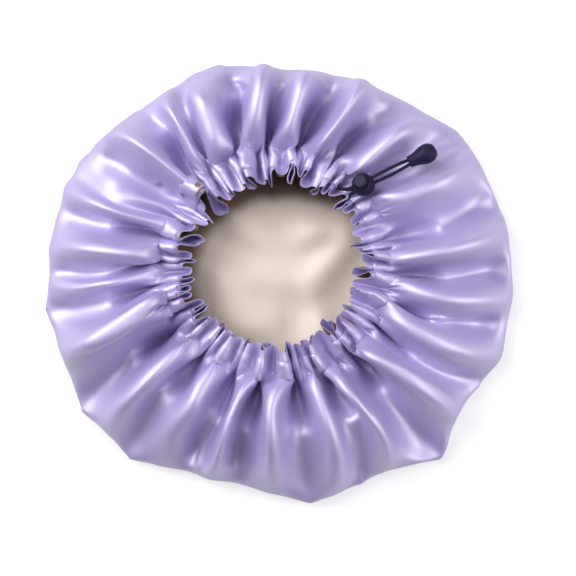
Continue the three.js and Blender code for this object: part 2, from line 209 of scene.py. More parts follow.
def tube(path, radius, sides, across, closed=False):
    """Points of a round tube: path + radius (cos a . n + sin a . b), where n is `across` made square
    to the path and b completes the right-handed frame."""
    ahead = np.roll(path, -1, 0) - np.roll(path, 1, 0)
    if not closed:
        ahead[0], ahead[-1] = path[1] - path[0], path[-1] - path[-2]
    ahead = unit(ahead)
    n = unit(across - (across * ahead).sum(-1, keepdims=True) * ahead)
    b = np.cross(ahead, n)
    cos, sin = circle(sides)
    return path[:, None] + radius * (cos * n[:, None] + sin * b[:, None])


CURVE_STEPS = 1200


def smooth_path(knots, count):
    """Centripetal Catmull-Rom through the knots, read at count even steps of its length."""
    p = np.vstack([2 * knots[0] - knots[1], knots, 2 * knots[-1] - knots[-2]])
    t = np.r_[0, np.cumsum(np.sqrt(np.linalg.norm(np.diff(p, axis=0), axis=1)))]
    s = np.linspace(t[1], t[-2], CURVE_STEPS)
    i = np.clip(np.searchsorted(t, s, side="right") - 1, 1, len(p) - 3)
    t0, t1, t2, t3 = (t[i + k][:, None] for k in (-1, 0, 1, 2))
    p0, p1, p2, p3 = (p[i + k] for k in (-1, 0, 1, 2))
    s = s[:, None]

    def between(a, b, ta, tb):
        return (tb - s) / (tb - ta) * a + (s - ta) / (tb - ta) * b

    a1, a2, a3 = between(p0, p1, t0, t1), between(p1, p2, t1, t2), between(p2, p3, t2, t3)
    line = between(between(a1, a2, t0, t2), between(a2, a3, t1, t3), t1, t2)
    way = np.r_[0, np.cumsum(np.linalg.norm(np.diff(line, axis=0), axis=1))]
    even = np.linspace(0, way[-1], count)
    return np.stack([np.interp(even, way, line[:, k]) for k in range(3)], -1)


CORD_DIAMETER = 0.0025
LOCK_PLACE = np.array([0.065, 0.0585, 0.0482])
CORD_PLAN, CORD_RISE = math.radians(25.9), math.radians(9)
along = np.array([math.cos(CORD_PLAN), math.sin(CORD_PLAN), 0])
beside = np.array([-along[1], along[0], 0])
# Each point: along and beside the lock's way in plan, and height.
LEFT_ROUTE = np.array([
    [-0.0193, 0.0095, 0.0395], [-0.0184, 0.008, 0.0399], [-0.0175, 0.0066, 0.0407],
    [-0.0164, 0.0053, 0.0418], [-0.0152, 0.00415, 0.04295], [-0.0137, 0.0032, 0.04405],
    [-0.012, 0.00245, 0.045], [-0.01, 0.00195, 0.0458], [-0.0077, 0.0018, 0.04636],
    [0, 0.0018, 0.04758], [0.008, 0.00195, 0.0488], [0.016, 0.00215, 0.05],
    [0.024, 0.00225, 0.05123], [0.031, 0.00215, 0.05237], [0.0375, 0.0016, 0.0535],
    [0.042, 0.0014, 0.0536], [0.0461, 0.0014, 0.05345]])
RIGHT_ROUTE = np.array([
    [-0.0125, -0.0097, 0.0395], [-0.01295, -0.0073, 0.0398], [-0.0132, -0.0054, 0.0406],
    [-0.0132, -0.004, 0.0418], [-0.0129, -0.00305, 0.0432], [-0.0122, -0.0024, 0.0446],
    [-0.01115, -0.002, 0.04595], [-0.0097, -0.00185, 0.04698], [-0.0077, -0.0018, 0.0476],
    [0, -0.0018, 0.04882], [0.008, -0.00215, 0.05021], [0.016, -0.00245, 0.05157],
    [0.024, -0.00245, 0.05284], [0.031, -0.00215, 0.05385], [0.0375, -0.0016, 0.05445],
    [0.042, -0.0014, 0.0545], [0.0461, -0.0014, 0.05435]])


def in_frame(route):
    """A route's points in the part's frame."""
    plan = LOCK_PLACE + route[:, :1] * along + route[:, 1:2] * beside
    return np.column_stack([plan[:, :2], route[:, 2]])


# Braid: two sets of slanting strands round the cord, from the UV map in metres along and around it.
elastic = Finish("braided_elastic", Roughness=0.62, Sheen_Weight=0.04, Specular_IOR_Level=0.25)
u, v, _ = elastic.parts(elastic.place("UV"))
STRANDS, STRAND_PITCH = 8, 0.0011
turns = v * (2 * math.pi * STRANDS)
run = u * (2 * math.pi / STRAND_PITCH)
strands = ((run + turns).sine() * 0.5 + 0.5) * ((run - turns).sine() * 0.5 + 0.5)
elastic.paint(Base_Color=elastic.mix(strands, (0.007, 0.005, 0.016, 1), (0.022, 0.016, 0.048, 1)))
elastic.bump(strands, 0.00025)

CORD_STEPS, CORD_SIDES = 120, 16
cords = {}
for name, route in (("drawcord_tail_left", LEFT_ROUTE), ("drawcord_tail_right", RIGHT_ROUTE)):
    line = smooth_path(in_frame(route), CORD_STEPS)
    length = float(np.linalg.norm(np.diff(line, axis=0), axis=1).sum())
    around, distance = np.meshgrid(np.arange(CORD_SIDES) / CORD_SIDES, np.linspace(0, length, len(line)))
    skin = tube(line, CORD_DIAMETER / 2, CORD_SIDES, beside)
    cord = sheet_mesh(name + "_braid", skin, elastic, caps=(0, -1), uv=np.stack([distance, around], -1))
    stands_for(cord, name, "cap")
    cords[name] = (cord, line, length)


# SATIN CAP: THE CLOTH'S MIDDLE SURFACE
# Two equal discs of satin, about 0.6 m across, sewn together at the edge and gathered on the cord to a
# 146 mm ring. The cloth stands in main folds that run from the edge to the gather and split into small
# ruffles there. Everything about the cloth is on one grid: rings from the crown to the rim, and columns.
# Main folds, anticlockwise from +X: the ridge's angle at the edge in degrees and the edge's radius there
# as a share, then the angles of the valley after it at the gather and at the edge, and the radius share
# there, then how deep the fold is midway and how deep it still is at the edge.
FOLDS = np.array([
    [9, 1.018, 11, 17, 1.005, 0.9, 0.25],
    [28, 0.984, 41, 36.5, 0.984, 0.6, 0.5],
    [45, 0.926, 60, 53, 0.908, 0.7, 0.25],
    [64, 0.867, 79, 71, 0.870, 0.9, 0.25],
    [79.5, 0.859, 94, 85.5, 0.853, 1.0, 0.25],
    [92, 0.846, 108, 105, 0.908, 1.05, 0.4],
    [113, 0.902, 122, 117, 0.896, 0.6, 0.3],
    [123, 0.885, 134, 132, 0.909, 0.8, 0.25],
    [143, 0.925, 145, 148, 0.953, 0.7, 0.3],
    [152, 0.966, 155.5, 155, 0.972, 0.8, 0.6],
    [160, 0.978, 166, 166, 0.982, 0.75, 0.3],
    [176, 0.988, 178, 181, 0.993, 0.8, 0.3],
    [186, 0.996, 190.5, 191, 1.026, 1.1, 1],
    [203, 0.994, 212, 217, 1.066, 1.0, 1],
    [224, 1.036, 231, 233, 1.064, 1.0, 1],
    [240, 1.012, 249, 246, 0.99, 0.85, 0.9],
    [253, 0.977, 262, 260, 0.977, 0.95, 0.3],
    [268, 0.99, 279, 278, 1.055, 1.15, 1],
    [284, 1.035, 295, 291, 1.024, 0.9, 1],
    [298, 1.014, 310, 310, 1.122, 1.15, 1],
    [320, 1.010, 328, 329, 1.032, 0.95, 1],
    [337, 1.064, 340, 346, 1.046, 0.9, 0.5],
    [352, 1.043, 355, 360, 1.031, 0.9, 0.4]])
RIDGE_AT, RIDGE_SHARE, VALLEY_AT_GATHER, VALLEY_AT, VALLEY_SHARE, MIDWAY_DEPTH, EDGE_DEPTH = FOLDS.T
# How many ruffles each fold splits into
RUFFLES = np.array([3, 4, 3, 3, 2, 2, 2, 2, 1, 2, 1, 2, 2, 4, 3, 3, 2, 2, 3, 2, 3, 2, 2])
# The rim of the opening: degrees, and its radius in thousandths of a metre.
RIM = np.array([
    [0, 69], [10, 64], [20, 67], [30, 68], [40, 70], [47, 73], [53, 69], [60, 63], [66, 60], [71, 67],
    [77, 72], [84, 74], [90, 76], [95, 59], [99, 52], [105, 55], [112, 60], [120, 62], [130, 65],
    [140, 64], [150, 64], [156, 79], [161, 70], [170, 67], [180, 69], [190, 71], [200, 72], [207, 67],
    [213, 72], [220, 64], [230, 62], [240, 58], [248, 56], [256, 65], [262, 55], [270, 53], [278, 57],
    [284, 68], [291, 61], [297, 59], [305, 65], [312, 65], [320, 63], [330, 62], [338, 64], [345, 59],
    [351, 70], [356, 63]], float)
CAP_RADIUS, CREST_RADIUS, PLEAT_RADIUS, SEAM_RADIUS, CORD_RADIUS = 0.174, 0.130, 0.106, 0.087, 0.073
CORD_HEIGHT = 0.0395
HEADER, RUFFLE_DEPTH = 0.0115, -0.0008
SAG, PINCH, SLIT, FLOP, LEAN = 0.016, 0.006, 0.017, 0.35, 0.45
COLUMNS = 1200
COLUMN_DEGREES = np.arange(COLUMNS) * 360 / COLUMNS
# Distance from the crown's centre along the cloth: of the profile's knots, and of the grid's rings.
KNOT_REACH = np.array([0, 0.12, 0.1634, 0.1797, 0.1956, 0.2144, 0.2393, 0.2637, 0.2835, 0.2979])
KNOT_HEIGHT = np.array([0.0006, 0.0006, 0.0022, 0.0105, 0.0235, 0.037, 0.0465, 0.0435, 0.0375,
                        CORD_HEIGHT])
WIDEST_REACH, SEAM_REACH, CORD_REACH = KNOT_REACH[[3, 8, 9]]
LOWEST = KNOT_HEIGHT[0]
SETTLED_FROM = 0.14
RINGS = np.r_[np.linspace(SETTLED_FROM, 0.18, 12), np.linspace(0.1825, 0.2835, 40),
              np.linspace(0.285, 0.3094, 17)]
chance = np.random.default_rng(7)


def round_table(degrees, values, at):
    """Straight lines between values set round the circle."""
    order = np.argsort(degrees % 360)
    d, v = (degrees % 360)[order], values[order]
    return np.interp(at % 360, np.r_[d[-1] - 360, d, d[0] + 360], np.r_[v[-1], v, v[0]])


def round_gap(a, b, whole):
    """How far a is past b round a circle of so many steps, between minus and plus half of them."""
    return (a - b + whole / 2) % whole - whole / 2


def blur_round(values, reach):
    """A moving mean with a bell-shaped window round the last axis."""
    window = np.hanning(2 * reach + 3)[1:-1]
    return sum(w * np.roll(values, k - reach, axis=-1) for k, w in enumerate(window / window.sum()))


def through(knots, values, at):
    """A smooth cubic through values[knot, column] whose slope at a knot is the mean of its sides'."""
    gap = np.diff(knots)[:, None]
    slope = np.diff(values, axis=0) / gap
    inner = (slope[:-1] * gap[1:] + slope[1:] * gap[:-1]) / (gap[1:] + gap[:-1])
    bend = np.vstack([slope[:1], inner, slope[-1:]])
    i = np.clip(np.searchsorted(knots, at, side="right") - 1, 0, len(knots) - 2)
    t = ((at - knots[i]) / gap[i, 0])[:, None]
    return ((2 * t**3 - 3 * t**2 + 1) * values[i] + (t**3 - 2 * t**2 + t) * gap[i] * bend[i]
            + (3 * t**2 - 2 * t**3) * values[i + 1] + (t**3 - t**2) * gap[i] * bend[i + 1])


def ease(x, low, high):
    """0 up to low, 1 from high, and 3 t^2 - 2 t^3 between them."""
    t = np.clip((x - low) / (high - low), 0, 1)
    return t * t * (3 - 2 * t)


def profile(reach):
    """The unfolded cap: radius and height [ring, column] at distances along the cloth."""
    edge = CAP_RADIUS * round_table(np.r_[RIDGE_AT, VALLEY_AT], np.r_[RIDGE_SHARE, VALLEY_SHARE],
                                    COLUMN_DEGREES)
    edge = blur_round(edge, 2)
    slack = edge - CREST_RADIUS
    same = np.ones(COLUMNS)
    knots = np.stack([0 * same, 0.69 * edge, edge - 0.24 * slack, edge, edge - 0.21 * slack,
                      edge - 0.52 * slack, CREST_RADIUS * same, PLEAT_RADIUS * same,
                      SEAM_RADIUS * same, CORD_RADIUS * same])
    at = np.minimum(reach, CORD_REACH)
    return edge, through(KNOT_REACH, knots, at), through(KNOT_REACH, KNOT_HEIGHT[:, None] * same, at)


def meander():
    """The folded cloth before it settles. Along each ring the cloth's slope follows a sine of the
    cloth's own length (the curve of a river's bends), a sum of the main folds and the ruffles in
    them, strong enough that the cloth's length fits into the ring's. Summed cosines and sines of
    the slope give the place along the ring and the height off the unfolded cap."""
    # each main fold begins in its valley; the first one's valley is the last one's, a turn earlier
    at_edge = np.r_[VALLEY_AT[-1] - 360, VALLEY_AT]
    at_gather = np.r_[VALLEY_AT_GATHER[-1] - 360, VALLEY_AT_GATHER]
    start = np.round(COLUMNS * at_edge / 360).astype(int)
    column = np.arange(COLUMNS)
    fold = np.searchsorted(start, column, side="right") - 1
    counts = np.diff(start)
    edge, radius, height = profile(RINGS)
    mean = radius.mean(1)
    drift = np.clip((edge - radius) / (edge - SEAM_RADIUS), 0, 1)
    # u runs 0 to 1 over a fold with its ridge at one half; uneven grows by 1 over each ruffle
    ridge = np.clip((RIDGE_AT - at_edge[:-1]) / np.diff(at_edge), 0.35, 0.65)[fold]
    share = (column - start[fold]) / counts[fold]
    u = np.where(share < ridge, 0.5 * share / ridge, 0.5 + 0.5 * (share - ridge) / (1 - ridge))
    first = np.r_[0, np.cumsum(RUFFLES)]
    uneven = np.concatenate([
        np.interp(u[start[i]:start[i + 1]],
                  np.r_[0, (np.arange(1, m) + chance.uniform(-0.2, 0.2, m - 1)) / m, 1], np.arange(m + 1))
        for i, m in enumerate(RUFFLES)])
    which = first[fold] + np.minimum(uneven.astype(int), RUFFLES[fold] - 1)
    gain = chance.uniform(0.7, 1.3, first[-1])[which]
    skew = chance.uniform(0.05, 0.4, first[-1])[which] * (1 - 1.8 * ease(RINGS, 0.286, 0.304))[:, None]
    early = chance.uniform(0.7, 1.35, len(FOLDS))[fold]
    main = np.interp(mean, [0.060, 0.073, 0.087, 0.100, 0.112], [0.25, 0.3, 0.55, 0.85, 1])[:, None]
    small = np.interp(mean, [0.073, 0.087, 0.096, 0.106, 0.120, 0.138],
                      [1, 0.85, 0.5, 0.25, 0.1, 0.01])[:, None]
    broad = 0.25 - chance.uniform(0.2, 0.5, len(FOLDS))[fold] * ease(mean, 0.085, 0.11)[:, None]
    two_pi = 2 * np.pi
    flat = 0.32 * ease(mean, 0.09, 0.12)[:, None]
    slope = (main * (np.sin(two_pi * u) + broad * np.sin(2 * two_pi * u) + flat * np.sin(3 * two_pi * u))
             + small * early * gain * (np.sin(two_pi * uneven) + skew * np.sin(2 * two_pi * uneven)))
    # how many times the ring's own length the cloth is, fold by fold
    spare = np.interp(mean, [0.060, 0.073, 0.087, 0.106, 0.130, 0.154, 0.1687, 0.174],
                      [3.1, 2.9, 2.1, 1.4, 0.78, 0.28, 0.02, 0.0006])
    spare = np.where(RINGS < WIDEST_REACH, 0.0006, spare)
    midway, far = ease(mean, 0.09, 0.12)[:, None], ease(mean, 0.148, 0.172)[:, None]
    fullness = 1 + spare[:, None] * ((1 + midway * (MIDWAY_DEPTH - 1)) * (1 - far) + EDGE_DEPTH * far)
    at_valley = drift[:, start % COLUMNS]
    bow = np.resize(chance.uniform(-3, 3, len(FOLDS)), len(FOLDS) + 1)
    valley = at_edge + (at_gather - at_edge) * at_valley + bow * np.sin(np.pi * at_valley)
    valley[:, -1] = valley[:, 0] + 360
    mean_radius = np.add.reduceat(radius, start[:-1], axis=1) / counts
    room = np.radians(np.diff(valley, axis=1)) * mean_radius
    cloth = fullness * np.radians(np.diff(at_edge)) * mean_radius
    wanted = np.clip(room / cloth, 0.22, 0.9999)
    # halving the gap finds the slope's strength at which the cloth just fits
    low, high = np.zeros(room.shape), np.full(room.shape, 3.2)
    for _ in range(22):
        halfway = (low + high) / 2
        short = np.add.reduceat(np.cos(slope * halfway[:, fold]), start[:-1], axis=1) / counts > wanted
        low, high = np.where(short, halfway, low), np.where(short, high, halfway)
    steepest = 1.6 + 0.15 * ease(RINGS, 0.286, 0.296)[:, None]
    slope = np.clip(slope * low[:, fold], -steepest, steepest)
    across, up = np.cos(slope), np.sin(slope)

    def summed(steps):
        total = np.add.reduceat(steps, start[:-1], axis=1)
        before = np.cumsum(total, axis=1) - total
        return np.cumsum(steps, axis=1) - steps / 2 - before[:, fold], total

    x, width = summed(across)
    x = x / width[:, fold]
    lift, _ = summed(up)
    lift = lift * (cloth / counts)[:, fold]
    centre = np.add.reduceat(lift, start[:-1], axis=1) / counts
    level = -(centre + np.roll(centre, 1, axis=1)) / 2
    level = np.concatenate([level, level[:, :1]], axis=1)
    lift = lift + level[:, fold] * (1 - x) + level[:, fold + 1] * x
    # the valleys sag between the edge and the gather, and run to a crease at the edge's corners
    from_edge = edge - radius
    half = (fold + (u > 0.5)) % len(FOLDS)
    outer = chance.uniform(-0.002, 0.006, len(FOLDS))[half]
    inner = chance.uniform(0.060, 0.090, len(FOLDS))[half]
    deep = chance.uniform(0.25, 1.2, len(FOLDS))[half] * ease(0.5 + 0.5 * np.cos(two_pi * u), 0.1, 0.85)
    sag = SAG * deep * ease(from_edge, outer, outer + 0.018) * (1 - ease(from_edge, inner - 0.045, inner))
    corners = np.flatnonzero(EDGE_DEPTH == 1)
    away = abs(round_gap(COLUMN_DEGREES[:, None], VALLEY_AT[corners], 360))
    sag *= 1 - 0.75 * np.exp(-(away / 9)**2).max(1)
    crease = np.exp(-away / 1.6).sum(1)
    pinch = PINCH * crease * ease(from_edge, 0.0, 0.007) * (1 - ease(from_edge, 0.012, 0.05))
    # the slits between the folds are deepest at the lower side, where the cap is fullest
    lower_side = 0.9 + 0.35 * np.cos(np.radians(VALLEY_AT_GATHER[half] - 262))
    slit = (SLIT * ((1 + 0.3 * np.sin(2.4 * half)) * lower_side) * (0.5 + 0.5 * np.cos(two_pi * u))**4
            * np.exp(-((radius - 0.105) / 0.013)**2))
    beyond_ring = RINGS[:, None] > WIDEST_REACH
    height = height - np.where(beyond_ring, sag + slit, 0)
    lift = lift - np.where(beyond_ring, pinch, 0)
    # the casing's seam draws the ruffles in
    lift *= 1 - 0.25 * np.exp(-((RINGS - SEAM_REACH) / 0.0035)**2)[:, None]
    height = height - 0.0016 * np.exp(-((RINGS - SEAM_REACH) / 0.003)**2)[:, None]
    # folds and ruffles lean to one side or the other, most where they are crowded
    flop = blur_round(chance.uniform(-1, 1, first[-1])[which], 7)
    lean = blur_round(chance.uniform(-0.6, 0.6, len(FOLDS))[fold], 14)
    crowd = 1 - ease(mean, 0.105, 0.14)[:, None]
    sway = (FLOP * small * flop + LEAN * lean * crowd) * lift / np.maximum(radius, 0.06)
    angle = np.radians(valley[:, fold] + x * (valley[:, fold + 1] - valley[:, fold])) + sway
    return radius, height, lift, angle, (cloth / counts)[:, fold]


def header(radius, height, angle):
    """Past the cord the cloth walks on in the direction that brings its edge to the rim's radius:
    inwards, upright, or turned back so that the lining shows. Also gives the way out of the cap."""
    size = np.hypot(np.gradient(radius, axis=0), np.gradient(height, axis=0))
    size = np.maximum(size, 1e-9)
    out_r, out_z = np.gradient(height, axis=0) / size, -np.gradient(radius, axis=0) / size
    rim = round_table(RIM[:, 0], RIM[:, 1], np.degrees(angle[-1]) % 360)
    rim = blur_round(rim, 7) / 1000 + RUFFLE_DEPTH
    tilt = np.arccos(np.clip((CORD_RADIUS - rim) / HEADER, -0.95, 0.95))
    past = np.maximum(RINGS - CORD_REACH, 0)[:, None]
    turn = tilt * ease(past / HEADER, -0.05, 0.55)
    step = np.diff(np.r_[0, past[:, 0]])[:, None]
    beyond = past > 0
    radius = np.where(beyond, CORD_RADIUS - np.cumsum(step * np.cos(turn), axis=0), radius)
    height = np.where(beyond, CORD_HEIGHT + np.cumsum(step * np.sin(turn), axis=0), height)
    return radius, height, np.where(beyond, np.sin(turn), out_r), np.where(beyond, np.cos(turn), out_z)


def settle(cloth, hoop, radial, free, steps):
    """Position-based cloth on cloth[xyz, ring, column]. Each step carries on half-damped motion, puts
    neighbours back to their distance along rings, across them and along diagonals, straightens the
    cloth by a share of its fourth difference (bending), draws its broad shape back to where it
    began (the air and the folds below that hold it up), and pushes it off the lock and the cords."""
    x, speed, free = cloth.astype(np.float32), 0, free.astype(np.float32)
    began = x.copy()
    bed = (LOWEST + 0.0085 * ease(RINGS, 0.180, 0.192)).astype(np.float32)[:, None]
    roof = np.where(RINGS < 0.177, np.interp(RINGS, KNOT_REACH, KNOT_HEIGHT) + 0.0005, 1)
    roof = roof.astype(np.float32)[:, None]
    support = (0.03 + 0.25 * np.exp(-((RINGS - 0.172) / 0.012)**2)).astype(np.float32)[:, None]
    hoop, radial = hoop.astype(np.float32), radial.astype(np.float32)
    slant = np.sqrt(radial**2 + hoop[:-1] * hoop[1:])
    columns = x.shape[2]

    every = slice(None)

    def link(a, b, rest, share=1):
        """Puts the points at rows and columns a and b back to their distance."""
        point_a, point_b, free_a, free_b = x[:, a[0], a[1]], x[:, b[0], b[1]], free[a], free[b]
        gap = point_b - point_a
        size = np.sqrt((gap * gap).sum(0)) + 1e-9
        gap *= share * (size - rest) / (size * (free_a + free_b + 1e-6))
        point_a += free_a * gap
        point_b -= free_b * gap

    def fourth(values, stride, axis):
        if axis == 2:
            second = np.roll(values, stride, 2) + np.roll(values, -stride, 2) - 2 * values
            return np.roll(second, stride, 2) + np.roll(second, -stride, 2) - 2 * second
        second, result = np.zeros_like(values), np.zeros_like(values)
        inner = slice(stride, -stride)
        second[:, inner] = values[:, 2 * stride:] + values[:, :-2 * stride] - 2 * values[:, inner]
        result[:, inner] = second[:, 2 * stride:] + second[:, :-2 * stride] - 2 * second[:, inner]
        return result

    def round_mean(values, reach):
        total = np.concatenate([values[:, :, -reach - 1:], values, values[:, :, :reach]], axis=2)
        total = total.cumsum(2)
        window = 2 * reach + 1
        return (total[:, :, window:] - total[:, :, :-window])[:, :, :columns] / window

    for _ in range(steps):
        before = x.copy()
        x += 0.9 * speed * free
        for k in (0, 1):
            link((slice(k, -1, 2), every), (slice(k + 1, None, 2), every), radial[k::2])
        link((every, slice(0, None, 2)), (every, slice(1, None, 2)), hoop[:, 0::2])
        link((every, slice(1, -1, 2)), (every, slice(2, None, 2)), hoop[:, 1:-1:2])
        link((every, -1), (every, 0), hoop[:, -1])
        for k in (0, 1):
            row, next_row = slice(k, -1, 2), slice(k + 1, None, 2)
            link((row, slice(None, -1)), (next_row, slice(1, None)), slant[k::2, :-1], 0.15)
            link((row, slice(1, None)), (next_row, slice(None, -1)), slant[k::2, :-1], 0.15)
        for stride, share in ((1, 0.04), (3, 0.006)):
            for axis in (2, 1):
                x -= share * fourth(x, stride, axis) * free
        broad = round_mean(round_mean(x - began, 10), 10)
        broad[:, 1:-1] = (broad[:, :-2] + 2 * broad[:, 1:-1] + broad[:, 2:]) / 4
        x -= support * broad * free
        press_down(x)
        np.clip(x[2], bed, roof, out=x[2])
        speed = x - before
    return x


# What lies on the cloth: the lock with its way along the cords, the cords, and the cord end. Each is a
# line from one point to another, with a radius.
cord_way = along * math.cos(CORD_RISE) + np.array([0, 0, math.sin(CORD_RISE)])
SLIDE_TRAVEL = 0.024
BELL_MOUTH = np.array([*(LOCK_PLACE + 0.0375 * along)[:2], 0.054])
BELL_LENGTH, BELL_DROOP = 0.0216, math.radians(-2)
bell_way = along * math.cos(BELL_DROOP) + np.array([0, 0, math.sin(BELL_DROOP)])
RESTING = [
    (LOCK_PLACE, LOCK_PLACE + SLIDE_TRAVEL * cord_way, 0.0096),
    (LOCK_PLACE - 0.012 * cord_way, BELL_MOUTH, 0.0045),
    (BELL_MOUTH + 0.004 * bell_way, BELL_MOUTH + 0.0145 * bell_way, 0.0080)]


def press_down(x):
    """Moves cloth that is inside or above a thing that lies on it to that thing's underside, and the
    ruffles past the cord, which stand beside it, back towards the opening."""
    standing = RINGS > CORD_REACH
    for a, b, radius in RESTING:
        way = b - a
        share = ((x[0] - a[0]) * way[0] + (x[1] - a[1]) * way[1]) / (way[0]**2 + way[1]**2)
        share = np.clip(share, 0, 1)
        aside = (x[0] - a[0] - share * way[0])**2 + (x[1] - a[1] - share * way[1])**2
        under = a[2] + share * way[2] - np.sqrt(np.maximum(radius**2 - aside, 0))
        near = aside < radius**2
        x[2] = np.where(near & ~standing[:, None], np.minimum(x[2], under), x[2])
        if radius > 0.005:
            back = 1 - np.where(near, radius - np.sqrt(aside), 0)[standing] / 0.08
            x[0][standing] *= back
            x[1][standing] *= back


radius, height, lift, angle, hoop = meander()
radius, height, out_r, out_z = header(radius, height, angle)
# a valley may move sideways only a little, or it would cross itself where the profile bends over
sideways = (0.005 + 0.1 * ease(RINGS, 0.268, 0.288))[:, None]
aslant = np.where(lift < 0, sideways * np.tanh(lift / sideways), lift)
folded_radius = radius + out_r * aslant
folded = np.stack([folded_radius * np.cos(angle), folded_radius * np.sin(angle), height + out_z * lift])
flat_gap = np.hypot(np.diff(radius, axis=0), np.diff(height, axis=0))
folded_gap = np.linalg.norm(np.diff(folded, axis=1), axis=0)
free = np.ones(hoop.shape)
free[0] = 0
free[RINGS > 0.29] = 0
cord_ring = int(np.argmin(abs(RINGS - CORD_REACH)))
radial = 0.15 * flat_gap + 0.25 * blur_round(folded_gap, 18) + 0.6 * folded_gap
middle = settle(folded, hoop, radial, free, steps=60)
middle = middle.transpose(1, 2, 0).astype(float)

# Fine creases run out from the gather and in from the corners: each a low ridge or a groove with a
# profile exp(1 - sqrt(1 + (d / w)^2)) across it, that wanders, widens and fades along its way.
CREASES = 110
way_out = (SEAM_REACH - RINGS)[:, None] / (SEAM_REACH - WIDEST_REACH)
first_column = (np.arange(CREASES) + chance.uniform(-0.45, 0.45, CREASES)) * COLUMNS / CREASES
wander, curl = chance.uniform(-26, 26, CREASES), chance.uniform(-12, 12, CREASES)
begin, end = chance.uniform(-0.1, 0.45, CREASES), chance.uniform(0.35, 1.05, CREASES)
depth = chance.choice([1, 1, -1], CREASES) * chance.uniform(0.0006, 0.0024, CREASES)
wide = chance.uniform(1.6, 4.5, CREASES)
place = first_column + wander * way_out + curl * np.sin(np.pi * way_out)
aside = round_gap(np.arange(COLUMNS)[:, None, None], place, COLUMNS)
strength = depth * ease(way_out, begin - 0.1, begin + 0.15) * (1 - ease(way_out, end - 0.3, end + 0.02))
crease_lift = (strength * np.exp(1 - np.hypot(1, aside / (wide * (1 + 0.6 * way_out))))).sum(-1).T
out_now = unit(np.cross((np.roll(middle, -1, 1) - np.roll(middle, 1, 1)), np.gradient(middle, axis=0)))
middle += crease_lift[:, :, None] * out_now
# The edge's corners are drawn out to points
LEVEL = np.array([1, 1, 0])
corner_columns = VALLEY_AT[EDGE_DEPTH == 1] * COLUMNS / 360
off_corner = abs(round_gap(np.arange(COLUMNS)[:, None], corner_columns, COLUMNS))
point = 0.0022 * np.exp(-off_corner / 7).sum(1) * np.exp(-((RINGS - 0.182) / 0.011)**2)[:, None]
middle += point[:, :, None] * unit(middle * LEVEL)
# The highest flaps bend over, and nothing goes below the table
FLAP_HEIGHT, FLAP_REST = 0.060, 0.009
over = np.maximum(middle[:, :, 2] - FLAP_HEIGHT, 0)
middle[:, :, 2] = np.maximum(middle[:, :, 2] - over + FLAP_REST * np.tanh(over / FLAP_REST), LOWEST)

# The crown's rings, out to where the settled cloth begins
crown_reach = np.linspace(0.02, SETTLED_FROM, 5)[:-1]
_, crown_radius, crown_height = profile(crown_reach)
turn = np.radians(COLUMN_DEGREES)


def round_grid(radius, *height):
    """The points at a radius in every column, with their height if it's given."""
    return np.stack([radius * np.cos(turn), radius * np.sin(turn), *height], -1)


middle = np.concatenate([round_grid(crown_radius, crown_height), middle])
reach = np.r_[crown_reach, RINGS]
grid_u = np.gradient(middle, axis=0)
grid_v = (np.roll(middle, -1, 1) - np.roll(middle, 1, 1)) / 2
outward = unit(np.cross(grid_v, grid_u))
flat_uv = round_grid(reach[:, None])


# OUTER SHELL
# Lavender charmeuse satin, the shiny side out: long smooth floats give a soft broad gloss in the
# cloth's own colour, over a fine weave that shows only close by.
def satin(name, light, dark, roughness, index, tint, deep=None):
    """Satin on the cloth's flat UV map, in metres: weave bump, and a slightly uneven gloss. Given a deep
    colour, the colour goes over to it outside a ring round a point a little to the lower right of the
    centre: painted shade, widest on the upper left, for the lining's hollow where the rim shades it from
    the key light."""
    finish = Finish(name, IOR=index, Specular_Tint=tint, Sheen_Weight=0.1, Sheen_Roughness=0.4)
    flat = finish.place("UV")
    x, y, _ = finish.parts(flat)
    cloudy = finish.noise(flat, 22, 3)
    warp, weft = 2 * math.pi / 0.0009, 2 * math.pi / 0.0005
    weave = (x * warp).sine() * 0.5 + (y * weft).sine() * 0.5
    grain = finish.noise(flat, 900, 2)
    colour = finish.mix(cloudy, light, dark)
    if deep:
        # painted shade: beyond a ring round a point off towards the lower right, the colour goes over to
        # the deep one, so the dark band is widest on the upper left, under the rim, away from the key light
        from_centre = ((x - 0.009) ** 2 + (y + 0.011) ** 2) ** 0.5
        beyond_ring = finish.node("ShaderNodeMapRange", {"interpolation_type": "SMOOTHSTEP"},
                                [from_centre, 0.064, 0.079, 0, 1])
        colour = finish.mix(beyond_ring, colour, deep)
    finish.paint(Base_Color=colour, Roughness=roughness + (cloudy - 0.5) * 0.10)
    finish.bump(weave * 0.4 + grain * 0.6, 0.00003)
    return finish


lavender = satin("lavender_satin", (0.33, 0.247, 0.575, 1), (0.285, 0.213, 0.53, 1),
                 roughness=0.56, index=4.3, tint=(0.97, 0.95, 1, 1))
# the lining's deep brown is painted shade under the rim's overhang
champagne = satin("champagne_satin", (0.81, 0.70, 0.615, 1), (0.76, 0.65, 0.565, 1),
                  roughness=0.48, index=1.8, tint=(1, 0.95, 0.9, 1), deep=(0.17, 0.10, 0.07, 1))
# Room between the layers: the cord's thickness in the casing, closed at the rim
spread = np.interp(reach, [0, 0.28, 0.2925, 0.2979, 0.3033, 0.3074, 0.3094],
                   [0.0003, 0.0003, 0.0012, 0.00155, 0.0010, 0.0004, 0.0001])


